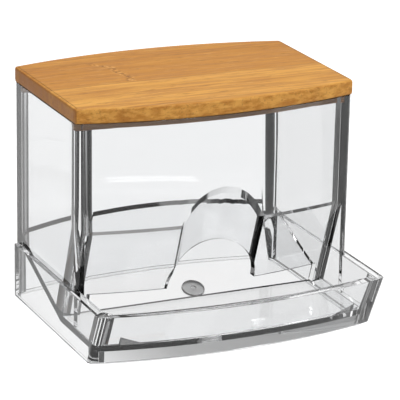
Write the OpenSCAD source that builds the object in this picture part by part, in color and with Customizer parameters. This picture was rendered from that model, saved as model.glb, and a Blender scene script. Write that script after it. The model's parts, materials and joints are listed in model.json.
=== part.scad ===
// Countertop cotton swab dispenser: a clear moulded hopper and tray with a bamboo lid.
// Millimetres, +Z up, the front towards -Y. The origin is the middle of the footprint,
// on the surface that the dispenser stands on.

/* [Hopper] */
// Width of the hopper
hopper_w = 121; // [105:0.5:150]
// Depth of the hopper at its corners
hopper_d = 67.4; // [58:0.1:90]
// How far the front and back bow out in the middle
bow = 8.3; // [4:0.1:12]
// Height of the hopper's mouth above the table
hopper_h = 93.3; // [80:0.1:130]
// Thickness of the hopper's walls
wall = 3.5; // [2.5:0.1:4.5]
// Radius of the hopper's outer upright edges
corner_r = 2.8; // [1:0.1:4]
// Radius of the hopper's inner upright edges
inner_r = 6.5; // [4:0.1:9]

/* [Front panel] */
// Height at which the front begins to lean back
bend_z = 47.7; // [42:0.1:60]
// Height of the panel's free lower edge
panel_edge_z = 19; // [16:0.1:23]
// How far the panel leans back between those two heights
panel_run = 10.3; // [6:0.1:14]
// Width of the slot that is left open below the panel
throat_w = 102; // [80:0.5:104]

/* [Finger scoop] */
// Width of the scoop where it is widest
scoop_w = 38; // [28:0.1:44]
// Depth of the scoop behind the face of the panel
scoop_depth = 5.4; // [4:0.1:7]
// How far in front of the panel's face the scoop is widest
scoop_lip = 1.2; // [0.6:0.1:2]
// Thickness of the scoop's shell
scoop_wall = 2.2; // [1.6:0.1:3]
// Width of the arch that is cut up into the panel's lower edge
arch_w = 39; // [30:0.5:46]

/* [Floor] */
// Height of the floor above the table
floor_z = 9.6; // [8:0.1:13]
// Thickness of the floor and of the ramp
floor_t = 3; // [2.4:0.1:4]
// Height at which the ramp meets the hopper's back corners
ramp_top_z = 29.3; // [22:0.1:36]
// Slope of the ramp that feeds the swabs forward
ramp_angle = 21; // [18:0.5:30]
// Diameter of the round gate recess under the ramp
gate_d = 9.5; // [6:0.5:12]
// Depth of the gate recess
gate_depth = 1.8; // [1:0.1:2]
// Diameter of the gate's stub in the middle of its recess
gate_stub_d = 2.4; // [1.5:0.1:4]
// Height of the gate's stub
gate_stub_h = 0.9; // [0.4:0.1:1]
// How far the gate recess stays clear of the ramp's foot
gate_clear = 0.4; // [0.2:0.1:3]

/* [Tray] */
// Width of the tray over its rim
tray_w = 125; // [123:0.5:156]
// Height of the tray's rim
rim_z = 24.1; // [20:0.1:32]
// How far the rim stands out in front of the hopper
tray_reach = 30; // [22:0.5:45]
// How far the front of the tray bows out in the middle
tray_bow = 8; // [4:0.1:12]
// How far the tray's front flares out from its foot to its rim
tray_flare = 12; // [6:0.5:15]
// Thickness of the tray's front and sides
tray_wall = 4; // [3:0.1:5]
// Radius of the tray's outer upright edges
tray_corner_r = 2.2; // [1:0.1:4]
// Radius of the tray's inner upright edges
tray_inner_r = 5; // [3:0.1:8]
// How far the side ledges stop short of the hopper's back corners
ledge_stop = 3.7; // [3:0.1:12]

/* [Foot] */
// Height of the foot ring
foot_h = 1; // [0.6:0.1:2]
// Width of the foot ring
foot_w = 2.4; // [1.6:0.1:3]
// How far the foot ring is set in from the outline
foot_inset = 0.8; // [0.4:0.1:1.5]
// Radius of the foot ring's corners
foot_corner_r = 6; // [4:0.1:8]

/* [Lid] */
// Thickness of the lid's board
lid_t = 6.3; // [4:0.1:10]
// How far the board stands out over the hopper's walls
lid_overhang = 0.3; // [0:0.1:3]
// Radius of the board's corners
lid_corner_r = 2; // [1.5:0.1:4]
// Radius to which the board's edges are eased
lid_ease = 0.8; // [0.4:0.1:1.5]
// How far the plug under the board reaches into the mouth
plug_h = 3.5; // [2:0.1:8]
// Clearance between the plug and the walls of the mouth
plug_gap = 2.2; // [0.5:0.1:4]

/* [Hidden] */
clear_tint = [0.87, 0.9, 0.92, 0.45];
bamboo_tint = [0.76, 0.52, 0.29];
$fn = 72;
arc_fn = 720;
// Long enough to pass through the whole dispenser from any point in it
span = 2 * (hopper_w + hopper_h);
// A little more than nothing, so that a cut passes its face
past = 1;
// Rounded edges swell by a hair, so that they cross the faces beside them cleanly
edge_swell = 1.005;

half_w = hopper_w / 2;
mid_d = hopper_d / 2 + bow;
hopper_y = (tray_reach - lid_overhang) / 2;
front_y = hopper_y - mid_d;
back_y = hopper_y + mid_d;
bow_r = arc_radius(hopper_w, bow);
lean = atan(panel_run / (bend_z - panel_edge_z));

half_tray = tray_w / 2;
rim_front_y = front_y - tray_reach;
tray_bow_r = arc_radius(tray_w, tray_bow);
flare = atan(tray_flare / rim_z);
foot_front_y = rim_front_y + tray_flare;
ledge_back_y = hopper_y + hopper_d / 2 - ledge_stop;

back_corner_y = back_y - wall - sag(half_w - inner_r, bow_r - wall);
ramp_foot_y = back_corner_y - (ramp_top_z - floor_z) / tan(ramp_angle);

// Flat strips in the scoop's half-round section
scoop_strips = 28;

// Radius of an arc from its chord and its rise
function arc_radius(chord, rise) = (pow(chord / 2, 2) + pow(rise, 2)) / (2 * rise);

// How far an arc of radius r has fallen back at a distance x from its middle
function sag(x, r) = r - sqrt(pow(r, 2) - pow(x, 2));

// Outline with a bowed front whose middle is the origin, straight sides and rounded front edges
module bowed_front(half, r_bow, r_edge) {
    edge_x = half - r_edge;
    edge_y = r_bow - sqrt(pow(r_bow - r_edge, 2) - pow(edge_x, 2));
    reach = (r_bow + past) / (r_bow - r_edge);
    tip = [edge_x * reach, r_bow + (edge_y - r_bow) * reach];
    corner_y = sag(half, r_bow) - past;
    difference() {
        intersection() {
            translate([0, r_bow]) circle(r = r_bow, $fn = arc_fn);
            translate([-half, -past]) square([2 * half, span]);
        }
        for (side = [-1, 1]) difference() {
            polygon([
                [side * edge_x, edge_y],
                [side * (half + past), edge_y],
                [side * (half + past), corner_y],
                [side * tip[0], tip[1]]
            ]);
            translate([side * edge_x, edge_y]) circle(r = r_edge * edge_swell);
        }
    }
}

// Plan of the hopper, bowed at the front and the back
module hopper_plan(inset, r_edge) {
    intersection() {
        translate([0, front_y + inset]) bowed_front(half_w - inset, bow_r - inset, r_edge);
        translate([0, back_y - inset]) mirror([0, 1])
            bowed_front(half_w - inset, bow_r - inset, r_edge);
    }
}

// Plan of the base, which has the tray's front and the hopper's back
module base_plan(inset, r_edge) {
    intersection() {
        translate([0, foot_front_y + inset])
            bowed_front(half_tray - inset, tray_bow_r - inset, r_edge);
        translate([0, back_y - inset]) mirror([0, 1])
            bowed_front(half_w - inset, bow_r - inset, r_edge);
    }
}

// Everything behind a front that leans back as it goes down, from the line at height z
module leaning_front(y, z, angle, inset, half, r_bow, r_edge) {
    translate([0, y, z]) rotate([angle, 0, 0]) translate([0, inset, -span])
        linear_extrude(2 * span)
            bowed_front(half - inset, r_bow / cos(angle) - inset, r_edge);
}

module behind_panel(inset, half, r_edge) {
    leaning_front(front_y, bend_z, lean, inset, half, bow_r, r_edge);
}

module behind_tray_front(inset, r_edge) {
    leaning_front(rim_front_y, rim_z, flare, inset, half_tray, tray_bow_r, r_edge);
}

// Side profile drawn in Y and Z, carried across the whole width
module across() {
    translate([-span / 2, 0, 0]) rotate([90, 0, 90]) linear_extrude(span) children();
}

// Space above the floor and the ramp, or below them when it is lowered by their thickness
module above_floor() {
    across() polygon([
        [-span, floor_z],
        [ramp_foot_y, floor_z],
        [ramp_foot_y + span, floor_z + span * tan(ramp_angle)],
        [-span, floor_z + span * tan(ramp_angle)]
    ]);
}

module below_floor() {
    under_z = floor_z - floor_t;
    under_foot_y = ramp_foot_y + floor_t * tan(ramp_angle / 2);
    across() polygon([
        [-span, -past],
        [-span, under_z],
        [under_foot_y, under_z],
        [under_foot_y + span, under_z + span * tan(ramp_angle)],
        [under_foot_y + span, -past]
    ]);
}

// The scoop's section: half an ellipse, open towards the front, whose strips turn evenly
module scoop_section(grow) {
    half = scoop_w / 2 + grow;
    rise = scoop_depth + scoop_lip + grow;
    round_back = [for (i = [0:scoop_strips])
        let (turn = 180 * i / scoop_strips, t = atan2(rise * sin(turn), half * cos(turn)))
        [half * cos(t), rise * sin(t) - scoop_lip]];
    polygon(concat(round_back, [[-half, -rise], [half, -rise]]));
}

// The scoop runs down along the slope of the panel
module scoop(grow) {
    translate([0, front_y, bend_z]) rotate([lean, 0, 0]) translate([0, 0, -span / 2])
        linear_extrude(span) scoop_section(grow);
}

// The side walls run straight down in front of the leaning panel, as two cheeks
module cheeks() {
    for (side = [0, 1]) mirror([side, 0, 0]) translate([half_w - wall, front_y - past, 0])
        cube([wall + past, mid_d, hopper_h + past]);
}

// The hopper as a full block, from the skirt up to its mouth
module hopper_block() {
    intersection() {
        translate([0, 0, foot_h]) linear_extrude(hopper_h - foot_h) hopper_plan(0, corner_r);
        union() {
            behind_panel(0, half_w + corner_r + past, corner_r);
            cheeks();
        }
    }
}

// The tray as a full block, with the ledges that run back beside the hopper
module tray_block() {
    intersection() {
        behind_tray_front(0, tray_corner_r);
        translate([-half_tray, rim_front_y, foot_h])
            cube([tray_w, ledge_back_y - rim_front_y, rim_z - foot_h]);
    }
}

// Space for the swabs inside the hopper, less the scoop's shell that stands into it
module store() {
    difference() {
        intersection() {
            linear_extrude(hopper_h + past) hopper_plan(wall, inner_r);
            behind_panel(wall, half_w, inner_r);
            above_floor();
        }
        scoop(scoop_wall);
    }
}

// Space inside the tray, in front of the hopper
module pick_up() {
    difference() {
        intersection() {
            behind_tray_front(tray_wall, tray_inner_r);
            translate([-half_tray, rim_front_y, floor_z])
                cube([tray_w, hopper_y - rim_front_y, rim_z]);
        }
        hopper_block();
    }
}

// Slot below the panel, which lets the lowest swabs roll out into the tray
module throat() {
    translate([-throat_w / 2, rim_front_y + tray_reach / 2, 0])
        cube([throat_w, hopper_y - front_y + tray_reach / 2, panel_edge_z]);
}

module arch() {
    translate([0, hopper_y, panel_edge_z]) rotate([90, 0, 0])
        cylinder(d = arch_w, h = hopper_y - front_y + tray_reach / 2);
}

module underside() {
    intersection() {
        translate([0, 0, -past]) linear_extrude(rim_z + ramp_top_z) base_plan(wall, inner_r);
        below_floor();
    }
}

module foot_ring() {
    linear_extrude(foot_h) difference() {
        base_plan(foot_inset, foot_corner_r);
        base_plan(foot_inset + foot_w, foot_corner_r - foot_w);
    }
}

// Round recess square into the ramp's underside, with the stub that the gate leaves in it
module gate_recess() {
    up_ramp = floor_t * tan(ramp_angle / 2) + gate_clear + gate_d / 2;
    translate([0, ramp_foot_y, floor_z]) rotate([ramp_angle, 0, 0])
        translate([0, up_ramp, -floor_t]) difference() {
            translate([0, 0, -past]) cylinder(d = gate_d, h = gate_depth + past);
            translate([0, 0, gate_depth - gate_stub_h]) cylinder(d = gate_stub_d, h = span);
        }
}

module clear_body() {
    color(clear_tint) difference() {
        union() {
            tray_block();
            hopper_block();
            foot_ring();
        }
        store();
        pick_up();
        intersection() {
            throat();
            above_floor();
        }
        intersection() {
            arch();
            above_floor();
        }
        intersection() {
            scoop(0);
            above_floor();
        }
        underside();
        gate_recess();
    }
}

// Half of a board's section, with its outer edges eased
module eased_section(reach) {
    square([reach - lid_ease, lid_t]);
    translate([0, lid_ease]) square([reach, lid_t - 2 * lid_ease]);
    for (z = [lid_ease, lid_t - lid_ease]) translate([reach - lid_ease, z]) circle(r = lid_ease);
}

module lid_board() {
    board_r = bow_r + lid_overhang;
    half = half_w + lid_overhang;
    intersection() {
        linear_extrude(lid_t) hopper_plan(-lid_overhang, lid_corner_r);
        for_front_and_back(board_r) rotate_extrude($fn = arc_fn) eased_section(board_r);
        translate([0, hopper_y + span / 2, 0]) rotate([90, 0, 0]) linear_extrude(span) {
            eased_section(half);
            mirror([1, 0]) eased_section(half);
        }
    }
}

// What the front disc and the back disc, both of the bow's radius, have in common
module for_front_and_back(board_r) {
    offset_y = board_r - mid_d - lid_overhang;
    intersection() {
        translate([0, hopper_y + offset_y, 0]) children();
        translate([0, hopper_y - offset_y, 0]) children();
    }
}

module bamboo_lid() {
    color(bamboo_tint) translate([0, 0, hopper_h]) {
        lid_board();
        translate([0, 0, -plug_h]) linear_extrude(plug_h + lid_t / 2)
            hopper_plan(wall + plug_gap, inner_r - plug_gap / 2);
    }
}

clear_body();
bamboo_lid();
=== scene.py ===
import json
import math

import bpy
from mathutils import Matrix, Vector

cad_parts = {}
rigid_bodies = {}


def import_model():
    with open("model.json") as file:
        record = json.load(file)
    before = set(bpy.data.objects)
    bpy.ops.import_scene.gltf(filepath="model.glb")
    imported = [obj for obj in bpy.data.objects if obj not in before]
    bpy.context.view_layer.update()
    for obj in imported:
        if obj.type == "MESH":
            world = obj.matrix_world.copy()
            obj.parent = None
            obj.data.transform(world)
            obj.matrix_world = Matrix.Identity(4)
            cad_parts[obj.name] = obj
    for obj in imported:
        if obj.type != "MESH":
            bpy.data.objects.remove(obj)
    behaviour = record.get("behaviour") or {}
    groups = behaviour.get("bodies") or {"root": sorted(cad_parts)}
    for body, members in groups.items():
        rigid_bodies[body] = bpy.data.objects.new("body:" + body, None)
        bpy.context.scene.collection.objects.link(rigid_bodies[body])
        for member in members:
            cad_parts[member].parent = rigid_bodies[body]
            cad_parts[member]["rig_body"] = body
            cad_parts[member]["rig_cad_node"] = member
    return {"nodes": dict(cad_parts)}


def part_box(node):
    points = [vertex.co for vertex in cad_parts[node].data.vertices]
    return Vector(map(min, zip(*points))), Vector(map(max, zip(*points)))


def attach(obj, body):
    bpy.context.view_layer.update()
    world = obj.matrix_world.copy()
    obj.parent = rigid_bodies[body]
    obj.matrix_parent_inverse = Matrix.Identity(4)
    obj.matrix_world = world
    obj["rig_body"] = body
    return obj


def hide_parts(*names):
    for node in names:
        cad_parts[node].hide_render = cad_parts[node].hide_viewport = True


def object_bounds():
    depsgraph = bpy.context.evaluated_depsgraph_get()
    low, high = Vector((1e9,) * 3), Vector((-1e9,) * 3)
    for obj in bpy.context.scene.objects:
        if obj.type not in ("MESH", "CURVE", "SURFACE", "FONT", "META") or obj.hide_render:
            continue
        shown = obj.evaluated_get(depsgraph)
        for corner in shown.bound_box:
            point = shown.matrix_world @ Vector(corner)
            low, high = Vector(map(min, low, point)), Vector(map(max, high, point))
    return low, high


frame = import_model()

bl_info = {
    "name": "Cotton swab dispenser",
    "version": (1, 0, 0),
    "blender": (4, 5, 0),
    "location": "View3D > Sidebar > Dispenser",
    "description": "Dresses a clear moulded swab dispenser and its bamboo lid",
    "category": "Object",
}

CAD_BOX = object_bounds()
BODY_LOW, BODY_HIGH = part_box("clear_body")
LID_LOW, LID_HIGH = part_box("bamboo_lid")
MM = 0.001

# Edges of more than this are rounded, and places nearer than these count as the same
SHARP_EDGE = math.radians(40)
NEAR = 0.01 * MM
MERGE = 0.005 * MM

# The bow of the hopper's front and back, and the height at which the lid rests on its walls
HOPPER_BOW = 8.3 * MM
LID_SEAT_Z = BODY_HIGH.z

# The middle of the gate recess under the ramp, how far its faces lie from there, and how high
GATE_MIDDLE = Vector((0.0, 1.4 * MM, 9.7 * MM))
GATE_REACH = 5.0 * MM
GATE_RISE = 1.5 * MM
RAMP_SLOPE = math.radians(21)

# Where each glued strip of the lid begins, from the front to the back, and how dark it is
STRIPS = ((LID_LOW.y - MM, 0.25), (-23.5 * MM, 0.0), (9.5 * MM, 0.7), (42.5 * MM, 0.45))
GRAIN_SLANT = math.radians(1.5)
# Waves a metre along and across the board, layers of detail and a seed, for each kind of grain
GRAINS = {
    "bands": (7.0, 95.0, 2.0, 0.0),
    "streaks": (34.0, 430.0, 4.0, 5.0),
    "fibres": (120.0, 1300.0, 3.0, 9.0),
    "dashes": (150.0, 900.0, 2.0, 17.0),
    "blotches": (210.0, 520.0, 3.0, 2.0),
}
# The culm's node: where its line of specks runs, how far and how often it wanders, its half
# width, from where it leans and how much, and how many specks there are to a metre
NODE_X = -28.5 * MM
NODE_WANDER = 9.0 * MM
NODE_WAVES = 90.0
NODE_CORE, NODE_HALF_WIDTH = 0.6 * MM, 2.6 * MM
NODE_LEANS_FROM, NODE_LEAN = 33.0 * MM, -0.7
NODE_SPECKS = 620.0
# Parts into which each half of the board's width is cut, so that its faces shade evenly
HALF_CUTS = 4

# The soft boxes round the table: name, place, side and power in watts
LAMPS = (
    ("key_box", Vector((0.55, -0.75, 1.05)), 0.7, 7.5),
    ("top_box", Vector((-0.15, 0.25, 1.3)), 0.9, 8.0),
    ("fill_box", Vector((-1.1, -0.5, 0.6)), 0.8, 1.5),
)

# The white sweeps that the plastic is looked through: degrees to the right of straight back,
# and degrees above the level
SWEEPS = ((24.8, -18.3), (-45.0, -25.0), (135.0, -15.0), (-90.0, -3.0), (0.0, -3.0))
SWEEP_HALF_WIDTH = math.radians(12)
# Grey of the surroundings, by the degrees to either side of the nearest sweep
SIDE_GREYS = (
    (0.0, 1.0), (6.5, 1.0), (7.5, 0.04), (24.0, 0.07), (30.0, 0.3), (45.0, 0.5), (70.0, 0.3))
SIDE_REACH = 90.0
# Grey of a sweep, by the degrees above or below its middle
HEIGHT_GREYS = (
    (0.0, 1.0), (12.0, 1.0), (13.5, 0.4), (20.0, 0.12), (30.0, 0.2), (45.0, 0.5), (90.0, 0.6))
HEIGHT_REACH = 120.0


def arc_radius(chord, rise):
    """Radius of an arc from its chord and its rise."""
    return ((chord / 2) ** 2 + rise**2) / (2 * rise)


def lid_halves():
    """Half the lid's width and half its depth."""
    return (LID_HIGH.x - LID_LOW.x) / 2, (LID_HIGH.y - LID_LOW.y) / 2


def start_clean():
    """Leaves edit mode's ground clear: nothing selected, nothing active."""
    bpy.ops.object.select_all(action="DESELECT")
    bpy.context.view_layer.objects.active = None


def pick(obj):
    start_clean()
    obj.select_set(True)
    bpy.context.view_layer.objects.active = obj
    return obj


def settle(obj):
    """Puts the object's place, turn and scale into its mesh."""
    pick(obj)
    bpy.ops.object.transform_apply(location=True, rotation=True, scale=True)


def edit(obj, mode):
    """Edit mode with nothing selected, in the given select mode."""
    pick(obj)
    bpy.ops.object.mode_set(mode="EDIT")
    bpy.ops.mesh.select_mode(type=mode)
    bpy.ops.mesh.select_all(action="DESELECT")


def leave_edit():
    bpy.ops.object.mode_set(mode="OBJECT")


def choose_faces(obj, wanted):
    """Selects, in edit mode, the faces whose centre and normal pass the test."""
    leave_edit()
    for polygon in obj.data.polygons:
        polygon.select = wanted(polygon.center, polygon.normal)
    bpy.ops.object.mode_set(mode="EDIT")


def choose_edges(obj, wanted):
    """Selects, in edit mode, the edges whose two ends pass the test."""
    leave_edit()
    points = obj.data.vertices
    for edge in obj.data.edges:
        a, b = (points[i].co for i in edge.vertices)
        edge.select = wanted(a, b)
    bpy.ops.object.mode_set(mode="EDIT")


def apply_modifier(obj, kind, **settings):
    pick(obj)
    modifier = obj.modifiers.new(kind.title(), kind)
    for name, value in settings.items():
        setattr(modifier, name, value)
    bpy.ops.object.modifier_apply(modifier=modifier.name)


def add_node(tree, kind, sockets=(), **settings):
    """A shader node, with its settings and with its sockets set to a value or linked."""
    made = tree.nodes.new("ShaderNode" + kind)
    for name, value in settings.items():
        setattr(made, name, value)
    for name, value in dict(sockets).items():
        if isinstance(value, bpy.types.NodeSocket):
            tree.links.new(value, made.inputs[name])
        else:
            made.inputs[name].default_value = value
    return made


def seen_rays(tree):
    """1 for the rays that show what is in view, directly, mirrored or through the plastic."""
    path = add_node(tree, "LightPath")
    shown = maths(tree, "MAXIMUM", path.outputs["Is Camera Ray"], path.outputs["Is Glossy Ray"])
    return maths(tree, "MAXIMUM", shown, path.outputs["Is Transmission Ray"])


def maths(tree, operation, *values):
    made = add_node(tree, "Math", enumerate(values), operation=operation)
    return made.outputs[0]


def tint(tree, factor, first, second, blend="MIX"):
    """One colour over another, by a factor."""
    made = add_node(tree, "Mix", data_type="RGBA", blend_type=blend)
    for index, value in ((0, factor), (6, first), (7, second)):
        if isinstance(value, bpy.types.NodeSocket):
            tree.links.new(value, made.inputs[index])
        else:
            made.inputs[index].default_value = value
    return made.outputs[2]


def spread(tree, value, low, high, to_low=0.0, to_high=1.0):
    """Maps a range of a value smoothly on to another range."""
    made = add_node(
        tree, "MapRange",
        {"Value": value, "From Min": low, "From Max": high, "To Min": to_low, "To Max": to_high},
        interpolation_type="SMOOTHSTEP",
    )
    return made.outputs["Result"]


def ramp(tree, value, stops, interpolation="LINEAR"):
    """Reads a grey off a row of stops, each a place from 0 to 1 and its grey."""
    made = add_node(tree, "ValToRGB", {0: value})
    made.color_ramp.interpolation = interpolation
    row = made.color_ramp.elements
    for place, grey in stops:
        row.new(place).color = (grey, grey, grey, 1.0)
    row.remove(row[0])
    row.remove(row[len(row) - 1])
    return made.outputs["Color"]


def off_sweep(tree, way):
    """Degrees between a direction and the nearest white sweep, round the level and up or down."""
    level = add_node(tree, "VectorMath", {0: way, 1: (1.0, 1.0, 0.0)}, operation="MULTIPLY")
    level = add_node(tree, "VectorMath", {0: level.outputs[0]}, operation="NORMALIZE")
    nearest, middle = -1.0, 0.0
    for heading, above in SWEEPS:
        turn = math.radians(heading)
        ahead = (math.sin(turn), math.cos(turn), 0.0)
        along = add_node(tree, "VectorMath", {0: level.outputs[0], 1: ahead},
                         operation="DOT_PRODUCT").outputs["Value"]
        nearest = maths(tree, "MAXIMUM", nearest, along)
        here = maths(tree, "GREATER_THAN", along, math.cos(SWEEP_HALF_WIDTH))
        middle = maths(tree, "ADD", middle, maths(tree, "MULTIPLY", here, above))
    side = maths(tree, "DEGREES", maths(tree, "ARCCOSINE", nearest))
    upward = add_node(tree, "SeparateXYZ", {0: way}).outputs[2]
    rise = maths(tree, "DEGREES", maths(tree, "ARCSINE", upward))
    return side, maths(tree, "ABSOLUTE", maths(tree, "SUBTRACT", rise, middle))


def grain(tree, places, along, across, detail, seed):
    """Noise drawn out along the board, with so many waves a metre along and across it."""
    stretched = add_node(
        tree, "Mapping",
        {"Vector": places, "Location": (seed, seed, seed), "Rotation": (0.0, 0.0, GRAIN_SLANT),
         "Scale": (along, across, across)})
    noise = add_node(
        tree, "TexNoise",
        {"Vector": stretched.outputs["Vector"], "Scale": 1.0, "Detail": detail, "Roughness": 0.6},
    )
    return noise.outputs["Fac"]


def speckle(tree, places, scale, detail):
    """Noise that is the same in every direction."""
    sockets = {"Vector": places, "Scale": scale, "Detail": detail}
    return add_node(tree, "TexNoise", sockets).outputs["Fac"]


def new_material(name):
    """A material whose node tree is still empty."""
    material = bpy.data.materials.new(name)
    material.use_nodes = True
    material.node_tree.nodes.clear()
    return material, material.node_tree


def gate_mark(tree, places):
    """1 on the faces of the gate recess under the ramp, which the mould leaves unpolished."""
    off = add_node(tree, "VectorMath", {0: places, 1: GATE_MIDDLE},
                   operation="DISTANCE").outputs["Value"]
    square = Vector((0.0, -math.sin(RAMP_SLOPE), math.cos(RAMP_SLOPE)))
    over = add_node(tree, "VectorMath", {0: places, 1: square},
                    operation="DOT_PRODUCT").outputs["Value"]
    below_top = maths(tree, "LESS_THAN", over, GATE_MIDDLE.dot(square) + GATE_RISE)
    return maths(tree, "MULTIPLY", below_top, maths(tree, "LESS_THAN", off, GATE_REACH))


def clear_plastic(settings):
    """Polished clear plastic with the faint waves and hair scratches of a moulding."""
    material, tree = new_material("clear_moulded_plastic")
    places = add_node(tree, "TexCoord").outputs["Object"]
    waves = speckle(tree, places, 55.0, 1.0)
    smears = speckle(tree, places, 28.0, 3.0)
    scratches = grain(tree, places, 90.0, 2600.0, 2.0, 3.0)
    polish = maths(tree, "ADD", spread(tree, smears, 0.45, 0.8, 0.0, 0.018),
                   spread(tree, scratches, 0.68, 0.8, 0.0, 0.012))
    frost = maths(tree, "MULTIPLY", gate_mark(tree, places), settings.gate_frost)
    polish = maths(tree, "MAXIMUM", polish, frost)
    ripple = add_node(
        tree, "Bump", {"Height": waves, "Strength": settings.ripple, "Distance": 0.2 * MM})
    plastic = add_node(
        tree, "BsdfPrincipled",
        {
            "Base Color": (*settings.tint, 1.0),
            "Roughness": polish,
            "IOR": settings.ior,
            "Transmission Weight": 1.0,
            "Normal": ripple.outputs["Normal"],
        },
    )
    let_through = add_node(tree, "BsdfTransparent", {"Color": (*settings.shadow_tint, 1.0)})
    path = add_node(tree, "LightPath")
    lamps = add_node(tree, "MixShader", {0: path.outputs["Is Shadow Ray"]})
    tree.links.new(plastic.outputs[0], lamps.inputs[1])
    tree.links.new(let_through.outputs[0], lamps.inputs[2])
    add_node(tree, "OutputMaterial", {"Surface": lamps.outputs[0]})
    return material


def strip_tones(tree, y):
    """How dark each glued strip is, and the thin seams between the strips."""
    low = STRIPS[0][0]
    reach = LID_HIGH.y + MM - low
    along = maths(tree, "DIVIDE", maths(tree, "SUBTRACT", y, low), reach)
    tone = ramp(tree, along, [((start - low) / reach, tone) for start, tone in STRIPS], "CONSTANT")
    seam = 0.0
    for start, _ in STRIPS[1:]:
        off = maths(tree, "ABSOLUTE", maths(tree, "SUBTRACT", y, start))
        seam = maths(tree, "MAXIMUM", seam, spread(tree, off, 0.1 * MM, 0.55 * MM, 1.0, 0.0))
    return tone, seam


def growth_node(tree, places, x, y):
    """The crooked line of specks that a culm's node leaves across one strip."""
    wander = add_node(tree, "TexNoise", {"W": maths(tree, "MULTIPLY", y, NODE_WAVES), "Scale": 1.0},
                      noise_dimensions="1D").outputs["Fac"]
    line = maths(tree, "ADD", NODE_X, maths(tree, "MULTIPLY", wander, NODE_WANDER))
    behind = maths(tree, "MAXIMUM", maths(tree, "SUBTRACT", y, NODE_LEANS_FROM), 0.0)
    lean = maths(tree, "MULTIPLY", behind, NODE_LEAN)
    off = maths(tree, "ABSOLUTE", maths(tree, "SUBTRACT", x, maths(tree, "ADD", line, lean)))
    near = spread(tree, off, NODE_CORE, NODE_HALF_WIDTH, 1.0, 0.0)
    first, last = STRIPS[2][0], STRIPS[3][0]
    inside = maths(tree, "MULTIPLY", spread(tree, y, first, first + 2 * MM),
                   spread(tree, y, last - 2 * MM, last, 1.0, 0.0))
    specks = speckle(tree, places, NODE_SPECKS, 2.0)
    near = maths(tree, "MULTIPLY", near, inside)
    dark = maths(tree, "MULTIPLY", near, spread(tree, specks, 0.5, 0.62))
    pale = maths(tree, "MULTIPLY", near, spread(tree, specks, 0.38, 0.48, 1.0, 0.0))
    return dark, pale


def bamboo(settings):
    """Caramel bamboo in glued strips, with fine fibres, a node's specks and rougher cut edges; its two ends
    are darkened partly as painted shade.
    """
    material, tree = new_material("oiled_bamboo")
    coordinates = add_node(tree, "TexCoord")
    places = coordinates.outputs["Object"]
    x, y, z = add_node(tree, "SeparateXYZ", {0: places}).outputs
    facing = add_node(tree, "SeparateXYZ", {0: coordinates.outputs["Normal"]}).outputs
    honey, deep, toast, pore, pale = (
        (*colour, 1.0) for colour in
        (settings.honey, settings.deep, settings.toast, settings.pore, settings.pale))

    strip, seam = strip_tones(tree, y)
    bands, streaks, fibres, dashes, blotches = (
        grain(tree, places, *numbers) for numbers in GRAINS.values())

    tone = maths(tree, "ADD", maths(tree, "MULTIPLY", spread(tree, bands, 0.35, 0.65), 0.4),
                 maths(tree, "MULTIPLY", spread(tree, streaks, 0.38, 0.62), 0.6))
    wood = tint(tree, tone, deep, honey)
    wood = tint(tree, maths(tree, "MULTIPLY", strip, 0.75), wood, toast)
    patch = speckle(tree, places, 24.0, 2.0)
    wood = tint(tree, spread(tree, patch, 0.55, 0.75, 0.0, 0.3), wood, toast)
    wood = tint(tree, spread(tree, fibres, 0.3, 0.44, 0.35, 0.0), wood, pale)
    wood = tint(tree, spread(tree, dashes, 0.6, 0.74, 0.0, 0.45), wood, pore)
    wood = tint(tree, maths(tree, "MULTIPLY", seam, 0.3), wood, pore)
    dark, light = growth_node(tree, places, x, y)
    wood = tint(tree, maths(tree, "MULTIPLY", dark, 0.6), wood, pore)
    wood = tint(tree, maths(tree, "MULTIPLY", light, 0.55), wood, pale)

    ends = spread(tree, maths(tree, "ABSOLUTE", facing[0]), 0.5, 0.85)
    edges = spread(tree, maths(tree, "ABSOLUTE", facing[1]), 0.45, 0.85)
    tubes = speckle(tree, places, 1100.0, 1.0)
    rough = tint(tree, spread(tree, blotches, 0.36, 0.64), toast, honey)
    wood = tint(tree, maths(tree, "MULTIPLY", edges, 0.55), wood, rough)
    # Painted shade: the faces at the board's two ends take a colour darker than their real end grain, so
    # the side faces look shaded.
    wood = tint(tree, maths(tree, "MULTIPLY", ends, 0.65), wood, (*settings.end_grain_and_shade, 1.0))
    cut = maths(tree, "MAXIMUM", ends, edges)
    wood = tint(tree, maths(tree, "MULTIPLY", cut, spread(tree, tubes, 0.58, 0.72, 0.0, 0.3)), wood, pore)
    on_plug = spread(tree, z, LID_SEAT_Z - 0.4 * MM, LID_SEAT_Z, 0.75, 0.0)
    wood = tint(tree, on_plug, wood, (*settings.plug_wood, 1.0))

    rub = maths(tree, "ADD", fibres, maths(tree, "MULTIPLY", cut, blotches))
    bump = add_node(tree, "Bump", {"Height": rub, "Strength": 0.35, "Distance": 0.15 * MM})
    board = add_node(
        tree, "BsdfPrincipled",
        {
            "Base Color": wood,
            "Roughness": spread(tree, streaks, 0.3, 0.7, 0.48, 0.62),
            "Specular IOR Level": 0.2,
            "Normal": bump.outputs["Normal"],
        },
    )
    add_node(tree, "OutputMaterial", {"Surface": board.outputs[0]})
    return material


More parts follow.
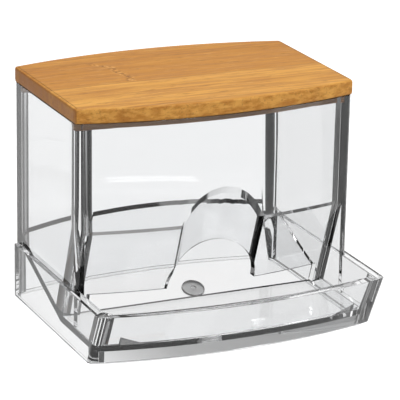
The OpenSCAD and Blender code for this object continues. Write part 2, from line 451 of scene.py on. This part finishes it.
class ClearBodySettings(bpy.types.PropertyGroup):
    edge_round: bpy.props.FloatProperty(
        name="Edge round", description="Radius to which the moulding's edges are rounded",
        default=0.35 * MM, unit="LENGTH")
    crease_angle: bpy.props.FloatProperty(
        name="Crease angle", description="Faces that meet at more than this stay crisp, as at the bend",
        default=math.radians(16), subtype="ANGLE")
    ripple: bpy.props.FloatProperty(
        name="Ripple", description="Strength of the faint waves in the moulded faces", default=0.04)
    ior: bpy.props.FloatProperty(
        name="Refraction", description="Refractive index of the plastic", default=1.5)
    gate_frost: bpy.props.FloatProperty(
        name="Gate frost", description="Roughness of the round gate mark under the ramp", default=0.55)
    tint: bpy.props.FloatVectorProperty(
        name="Tint", description="Colour that the plastic gives what is seen through it",
        default=(0.975, 0.98, 0.985), subtype="COLOR")
    shadow_tint: bpy.props.FloatVectorProperty(
        name="Shadow tint", description="Colour that lamps keep as they shine through",
        default=(0.9, 0.91, 0.92), subtype="COLOR")


class BambooLidSettings(bpy.types.PropertyGroup):
    overhang: bpy.props.FloatProperty(
        name="Overhang", description="How far the board stands out over the hopper", default=0.3 * MM,
        unit="LENGTH")
    corner_round: bpy.props.FloatProperty(
        name="Corner round", description="Radius of the board's upright corners", default=2.5 * MM,
        unit="LENGTH")
    edge_ease: bpy.props.FloatProperty(
        name="Edge ease", description="Radius to which the board's edges are eased", default=1.1 * MM,
        unit="LENGTH")
    plug_inset: bpy.props.FloatProperty(
        name="Plug inset", description="From the board's outline to the plug below it", default=6.0 * MM,
        unit="LENGTH")
    plug_corner_round: bpy.props.FloatProperty(
        name="Plug corner round", description="Radius of the plug's upright corners", default=5.4 * MM,
        unit="LENGTH")
    arc_steps: bpy.props.IntProperty(
        name="Arc steps", description="Flat steps in the bow of the front and of the back", default=64)
    honey: bpy.props.FloatVectorProperty(
        name="Honey", description="The bright fibres", default=(0.78, 0.4, 0.09), subtype="COLOR")
    deep: bpy.props.FloatVectorProperty(
        name="Deep", description="The darker fibres", default=(0.5, 0.205, 0.033), subtype="COLOR")
    toast: bpy.props.FloatVectorProperty(
        name="Toast", description="The darker strips", default=(0.44, 0.16, 0.022), subtype="COLOR")
    pale: bpy.props.FloatVectorProperty(
        name="Pale", description="The palest fibres and specks", default=(0.84, 0.5, 0.17), subtype="COLOR")
    pore: bpy.props.FloatVectorProperty(
        name="Pore", description="Pores, seams and dark specks", default=(0.19, 0.07, 0.02),
        subtype="COLOR")
    # Partly the cut ends' own darker grain, partly painted shade of the board's side faces
    end_grain_and_shade: bpy.props.FloatVectorProperty(
        name="End grain", description="The cut ends of the strips", default=(0.27, 0.1, 0.028),
        subtype="COLOR")
    plug_wood: bpy.props.FloatVectorProperty(
        name="Plug wood", description="The sanded plug, without oil", default=(0.62, 0.35, 0.2),
        subtype="COLOR")


class StudioSettings(bpy.types.PropertyGroup):
    camera_place: bpy.props.FloatVectorProperty(
        name="Camera place", description="Where the camera stands", default=(-0.3953, -0.8608, 0.3634),
        subtype="XYZ")
    view_way: bpy.props.FloatVectorProperty(
        name="View direction", description="The way the camera looks", default=(0.3977, 0.8619, -0.3145),
        subtype="DIRECTION")
    roll: bpy.props.FloatProperty(
        name="Roll", description="How far the camera leans to one side", default=math.radians(1.08),
        subtype="ANGLE")
    lens: bpy.props.FloatProperty(
        name="Lens", description="Focal length on a 36 mm sensor, in millimetres", default=219.4)
    floor_size: bpy.props.FloatProperty(
        name="Floor size", description="Side of the square floor", default=12.0, unit="LENGTH")
    floor_grey: bpy.props.FloatProperty(
        name="Floor grey", description="How pale the floor's own colour is", default=0.8)
    floor_lift: bpy.props.FloatProperty(
        name="Floor lift", description="White that the floor shows over its own lit colour", default=0.45)
    ambient: bpy.props.FloatProperty(
        name="Ambient", description="Strength of the even light from all round", default=0.35)


class DISPENSER_OT_clear_body(bpy.types.Operator):
    """Makes the clear moulding from the solid's own surface, with its edges rounded."""

    bl_idname = "dispenser.clear_body"
    bl_label = "Clear body"

    def execute(self, context):
        settings = context.scene.clear_body_settings
        pick(frame["nodes"]["clear_body"])
        bpy.ops.object.duplicate()
        shell = context.view_layer.objects.active
        shell.name = "clear_shell"
        bpy.ops.object.parent_clear(type="CLEAR_KEEP_TRANSFORM")
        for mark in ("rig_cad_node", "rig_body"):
            del shell[mark]
        bpy.ops.mesh.customdata_custom_splitnormals_clear()
        edit(shell, "VERT")
        bpy.ops.mesh.select_all(action="SELECT")
        bpy.ops.mesh.remove_doubles(threshold=0.002 * MM)
        bpy.ops.mesh.select_mode(type="FACE")
        bpy.ops.mesh.select_all(action="SELECT")
        bpy.ops.mesh.dissolve_limited(angle_limit=math.radians(0.4))
        leave_edit()
        apply_modifier(shell, "BEVEL", width=settings.edge_round, segments=2, limit_method="ANGLE",
                       angle_limit=SHARP_EDGE, miter_outer="MITER_ARC")
        pick(shell)
        bpy.ops.object.shade_smooth_by_angle(angle=settings.crease_angle)
        apply_modifier(shell, "WEIGHTED_NORMAL", weight=100, keep_sharp=True)
        shell.data.materials.clear()
        shell.data.materials.append(clear_plastic(settings))
        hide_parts("clear_body")
        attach(shell, "base")
        return {"FINISHED"}


class DISPENSER_OT_bamboo_lid(bpy.types.Operator):
    """Models the bow-fronted board with its stepped plug, and paints it as bamboo."""

    bl_idname = "dispenser.bamboo_lid"
    bl_label = "Bamboo lid"

    def execute(self, context):
        settings = context.scene.bamboo_lid_settings
        board = self.quarter_board(context, settings)
        self.whole_board(board)
        self.stepped_plug(board, settings)
        self.round_corners(board, settings)
        apply_modifier(board, "BEVEL", width=settings.edge_ease, segments=4, limit_method="ANGLE",
                       angle_limit=SHARP_EDGE, use_clamp_overlap=False)
        self.even_faces(board)
        pick(board)
        bpy.ops.object.shade_smooth_by_angle(angle=math.radians(35))
        apply_modifier(board, "WEIGHTED_NORMAL", weight=100, keep_sharp=True)
        board.data.materials.append(bamboo(settings))
        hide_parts("bamboo_lid")
        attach(board, "lid")
        return {"FINISHED"}

    def quarter_board(self, context, settings):
        """A quarter of the board round the origin, with the bow as a spun front."""
        half_x, half_y = lid_halves()
        thick = LID_HIGH.z - LID_SEAT_Z
        radius = arc_radius(2 * (half_x - settings.overhang), HOPPER_BOW) + settings.overhang
        # The plane reaches behind the middle, and the spin past the side, so that both can be cut
        behind, past_side = 20 * MM, 1.15
        start_clean()
        bpy.ops.mesh.primitive_plane_add(size=1.0)
        board = context.view_layer.objects.active
        board.name = "bamboo_board"
        board.rotation_euler = (math.pi / 2, 0.0, math.pi / 2)
        board.scale = (half_y + behind, thick, 1.0)
        board.location = (0.0, (behind - half_y) / 2, LID_SEAT_Z + thick / 2)
        settle(board)
        edit(board, "FACE")
        bpy.ops.mesh.select_all(action="SELECT")
        bpy.ops.mesh.spin(
            steps=settings.arc_steps, angle=math.asin(past_side * half_x / (radius - half_y)),
            center=(0.0, radius - half_y, 0.0), axis=(0.0, 0.0, -1.0))
        bpy.ops.mesh.select_all(action="SELECT")
        bpy.ops.mesh.bisect(plane_co=(half_x, 0.0, 0.0), plane_no=(1.0, 0.0, 0.0), clear_outer=True,
                            use_fill=True)
        bpy.ops.mesh.select_all(action="SELECT")
        bpy.ops.mesh.bisect(plane_co=(0.0, 0.0, 0.0), plane_no=(0.0, 1.0, 0.0), clear_outer=True)
        choose_faces(board, lambda centre, normal: centre.x < NEAR)
        bpy.ops.mesh.delete(type="FACE")
        leave_edit()
        return board

    def whole_board(self, board):
        """Mirrors the quarter both ways and joins its flat faces."""
        apply_modifier(board, "MIRROR", use_axis=(True, True, False), merge_threshold=NEAR)
        edit(board, "FACE")
        bpy.ops.mesh.select_all(action="SELECT")
        bpy.ops.mesh.remove_doubles(threshold=MERGE)
        bpy.ops.mesh.normals_make_consistent(inside=False)
        bpy.ops.mesh.dissolve_limited(angle_limit=math.radians(0.05))
        leave_edit()

    def stepped_plug(self, board, settings):
        """Insets the board's underside and draws the plug down from it."""
        edit(board, "FACE")
        choose_faces(board, lambda centre, normal: normal.z < -0.9)
        bpy.ops.mesh.inset(thickness=settings.plug_inset)
        bpy.ops.mesh.extrude_region_move(
            TRANSFORM_OT_translate={"value": (0.0, 0.0, LID_LOW.z - LID_SEAT_Z)})
        leave_edit()

    def round_corners(self, board, settings):
        """Rounds the four upright corners of the board, and then those of the plug."""
        half_x, half_y = lid_halves()
        for reach, low, radius in (
            (half_x, LID_SEAT_Z, settings.corner_round),
            (half_x - settings.plug_inset, LID_LOW.z, settings.plug_corner_round),
        ):
            edit(board, "EDGE")
            choose_edges(board, lambda a, b: abs(a.x - b.x) + abs(a.y - b.y) < NEAR
                         and abs(abs(a.x) - reach) < 10 * NEAR and abs(min(a.z, b.z) - low) < NEAR)
            bpy.ops.mesh.bevel(offset=radius, segments=8, affect="EDGES")
            bpy.ops.mesh.select_all(action="SELECT")
            bpy.ops.mesh.remove_doubles(threshold=0.02 * MM)
            leave_edit()

    def even_faces(self, board):
        """Merges what the rounding doubled, cuts the long faces across, and moves the board home."""
        half_x, _ = lid_halves()
        edit(board, "VERT")
        bpy.ops.mesh.select_all(action="SELECT")
        bpy.ops.mesh.remove_doubles(threshold=MERGE)
        for cut in range(1 - HALF_CUTS, HALF_CUTS):
            bpy.ops.mesh.select_all(action="SELECT")
            bpy.ops.mesh.bisect(plane_co=(cut * half_x / HALF_CUTS, 0.0, 0.0), plane_no=(1.0, 0.0, 0.0))
        bpy.ops.mesh.select_all(action="SELECT")
        bpy.ops.transform.translate(value=(0.0, (LID_LOW.y + LID_HIGH.y) / 2, 0.0))
        leave_edit()


class DISPENSER_OT_studio(bpy.types.Operator):
    """Sets up the pale floor, the soft lamps, the surroundings and the camera."""

    bl_idname = "dispenser.studio"
    bl_label = "Studio"

    def execute(self, context):
        settings = context.scene.studio_settings
        self.floor(context, settings)
        self.lamps(context)
        self.surroundings(context, settings)
        self.camera(context, settings)
        context.scene.view_settings.view_transform = "Standard"
        return {"FINISHED"}

    def floor(self, context, settings):
        """A white floor that keeps the dispenser's shadow and lifts it a little where it is seen."""
        start_clean()
        bpy.ops.mesh.primitive_plane_add(size=settings.floor_size)
        floor = context.view_layer.objects.active
        floor.name = "table_top"
        edit(floor, "FACE")
        bpy.ops.mesh.select_all(action="SELECT")
        bpy.ops.mesh.subdivide(number_cuts=3)
        leave_edit()
        material, tree = new_material("white_table")
        lit = add_node(tree, "BsdfDiffuse", {"Color": (*[settings.floor_grey] * 3, 1.0)})
        lift = add_node(tree, "Emission", {"Strength": maths(
            tree, "MULTIPLY", seen_rays(tree), settings.floor_lift)})
        both = add_node(tree, "AddShader", {0: lit.outputs[0], 1: lift.outputs[0]})
        add_node(tree, "OutputMaterial", {"Surface": both.outputs[0]})
        floor.data.materials.append(material)
        floor.visible_transmission = False

    def lamps(self, context):
        """Soft boxes round the table, each turned to the dispenser."""
        aim = Vector((0.0, 0.0, (CAD_BOX[0].z + CAD_BOX[1].z) / 2))
        for name, place, size, power in LAMPS:
            start_clean()
            bpy.ops.object.light_add(type="AREA", location=place)
            lamp = context.view_layer.objects.active
            lamp.name = name
            lamp.data.size = size
            lamp.data.energy = power
            lamp.rotation_euler = (aim - place).to_track_quat("-Z", "Y").to_euler()

    def surroundings(self, context, settings):
        """Even light, and for the plastic white windows with darker surroundings between them."""
        world = bpy.data.worlds.new("studio")
        context.scene.world = world
        world.use_nodes = True
        tree = world.node_tree
        tree.nodes.clear()
        way = add_node(tree, "TexCoord").outputs["Generated"]
        side, height = off_sweep(tree, way)
        sides = ramp(tree, maths(tree, "DIVIDE", side, SIDE_REACH),
                     [(degrees / SIDE_REACH, grey) for degrees, grey in SIDE_GREYS])
        heights = ramp(tree, maths(tree, "DIVIDE", height, HEIGHT_REACH),
                       [(degrees / HEIGHT_REACH, grey) for degrees, grey in HEIGHT_GREYS])
        path = add_node(tree, "LightPath")
        through = tint(tree, 1.0, sides, heights, "MULTIPLY")
        view = tint(tree, path.outputs["Is Transmission Ray"], sides, through)
        view = tint(tree, path.outputs["Is Camera Ray"], view, (1.0, 1.0, 1.0, 1.0))
        seen = add_node(tree, "Background", {"Color": view, "Strength": 1.0})
        even = add_node(tree, "Background", {"Color": (1.0, 1.0, 1.0, 1.0), "Strength": settings.ambient})
        both = add_node(tree, "MixShader", {0: seen_rays(tree)})
        tree.links.new(even.outputs[0], both.inputs[1])
        tree.links.new(seen.outputs[0], both.inputs[2])
        add_node(tree, "OutputWorld", {"Surface": both.outputs[0]})

    def camera(self, context, settings):
        """The long lens that the photograph was solved to, with its slight roll."""
        start_clean()
        bpy.ops.object.camera_add(location=settings.camera_place)
        camera = context.view_layer.objects.active
        camera.name = "front_camera"
        ahead = Vector(settings.view_way).normalized()
        right = ahead.cross(Vector((0.0, 0.0, 1.0))).normalized()
        up = right.cross(ahead)
        level = Matrix((right, up, -ahead)).transposed()
        camera.rotation_euler = (level @ Matrix.Rotation(settings.roll, 3, "Z")).to_euler()
        camera.data.sensor_width = 36.0
        camera.data.lens = settings.lens
        camera.data.clip_start = 0.05
        context.scene.camera = camera


class DISPENSER_PT_sidebar(bpy.types.Panel):
    """Lists the dispenser's pieces and their settings."""

    bl_idname = "DISPENSER_PT_sidebar"
    bl_label = "Swab dispenser"
    bl_space_type = "VIEW_3D"
    bl_region_type = "UI"
    bl_category = "Dispenser"

    def draw(self, context):
        for settings, operators in PANEL_ROWS:
            box = self.layout.box()
            held = getattr(context.scene, settings)
            for name in held.bl_rna.properties.keys():
                if name not in ("rna_type", "name"):
                    box.prop(held, name)
            for operator in operators:
                box.operator(operator)


PANEL_ROWS = (
    ("clear_body_settings", ("dispenser.clear_body",)),
    ("bamboo_lid_settings", ("dispenser.bamboo_lid",)),
    ("studio_settings", ("dispenser.studio",)),
)
GROUPS = {
    "clear_body_settings": ClearBodySettings,
    "bamboo_lid_settings": BambooLidSettings,
    "studio_settings": StudioSettings,
}
CLASSES = (
    ClearBodySettings,
    BambooLidSettings,
    StudioSettings,
    DISPENSER_OT_clear_body,
    DISPENSER_OT_bamboo_lid,
    DISPENSER_OT_studio,
    DISPENSER_PT_sidebar,
)


def register():
    """Registers the classes and hangs each group of settings on the scene."""
    for held in CLASSES:
        bpy.utils.register_class(held)
    for name, group in GROUPS.items():
        setattr(bpy.types.Scene, name, bpy.props.PointerProperty(type=group))


def unregister():
    """Takes back what register added."""
    for name in GROUPS:
        delattr(bpy.types.Scene, name)
    for held in reversed(CLASSES):
        bpy.utils.unregister_class(held)


def main():
    """Makes the pieces and the stage."""
    register()
    bpy.ops.dispenser.clear_body()
    bpy.ops.dispenser.bamboo_lid()
    bpy.ops.dispenser.studio()


if __name__ == "__main__":
    main()
